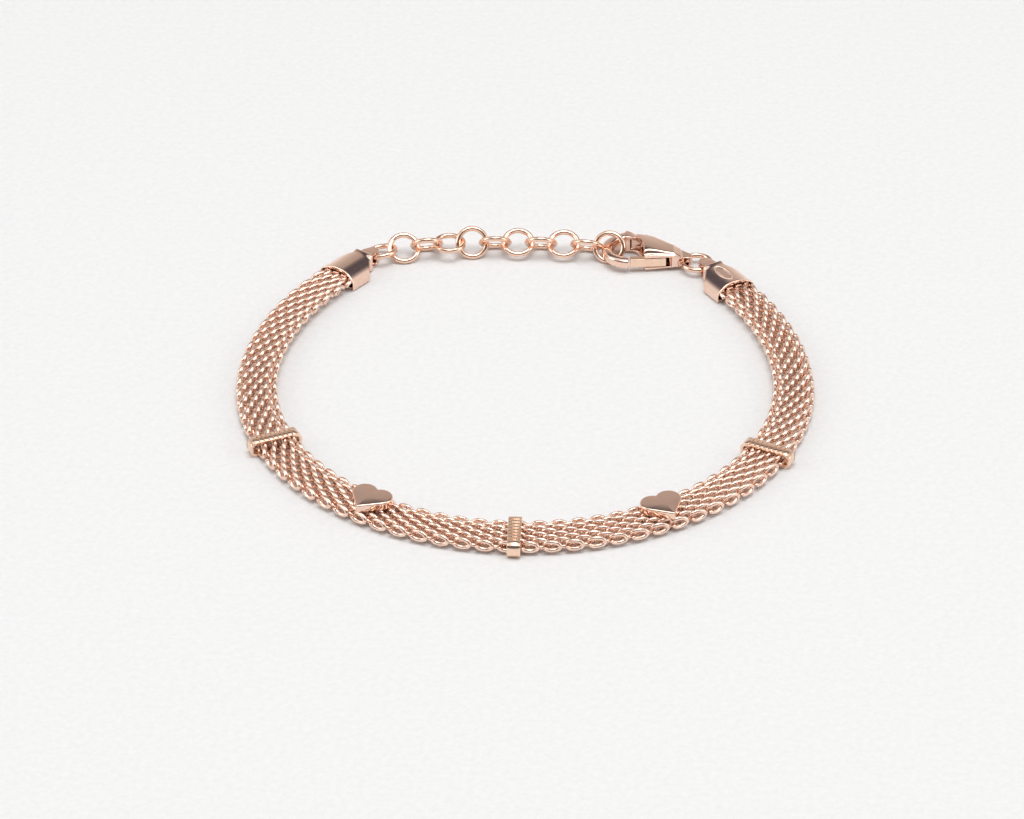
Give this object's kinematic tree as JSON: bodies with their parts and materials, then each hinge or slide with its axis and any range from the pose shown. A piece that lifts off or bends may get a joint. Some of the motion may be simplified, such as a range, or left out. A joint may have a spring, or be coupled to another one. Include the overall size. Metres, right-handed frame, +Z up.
{
  "type": "mesh bracelet with lobster clasp",
  "caption": "Slim woven mesh bracelet with grooved sliders and flat hearts, closed by an extension chain and a lobster clasp, lying flat in a loop.",
  "frame": {"origin": "centre of the band's front curve, on the surface that the bracelet lies on", "axes": "+Z up through the wrist opening, -Y to the front slider, +Y to the extension chain, +X from the chain to the clasp"},
  "size_m": [0.0666, 0.0662, 0.0032],
  "materials": {
    "mesh": "polished rose gold plate on woven wire",
    "wire": "polished rose gold plate",
    "fittings": "polished rose gold plate"
  },
  "bodies": {
    "bracelet": {"mesh_band": "mesh", "slider_left": "fittings", "slider_front": "fittings", "slider_right": "fittings", "heart_left": "fittings", "heart_right": "fittings", "end_cap_left": "fittings", "end_cap_right": "fittings", "chain_link_01": "wire", "chain_link_02": "wire", "chain_link_03": "wire", "chain_link_04": "wire", "chain_link_05": "wire", "chain_link_06": "wire", "chain_link_07": "wire", "chain_link_08": "wire", "chain_link_09": "wire", "chain_link_10": "wire", "chain_link_11": "wire", "jump_ring": "wire", "clasp_body": "fittings", "clasp_pin": "fittings"},
    "clasp_lever": {"clasp_lever": "fittings"}
  },
  "joints": [
    {"name": "clasp_lever_hinge", "type": "hinge", "parent": "bracelet", "child": "clasp_lever", "pos_m": [0.01442, 0.02753, 0.00125], "axis": [0, 0, -1], "range_deg": [0, 18], "stiffness_Nm_per_rad": 0.003, "springref_deg": -17.19}
  ]
}
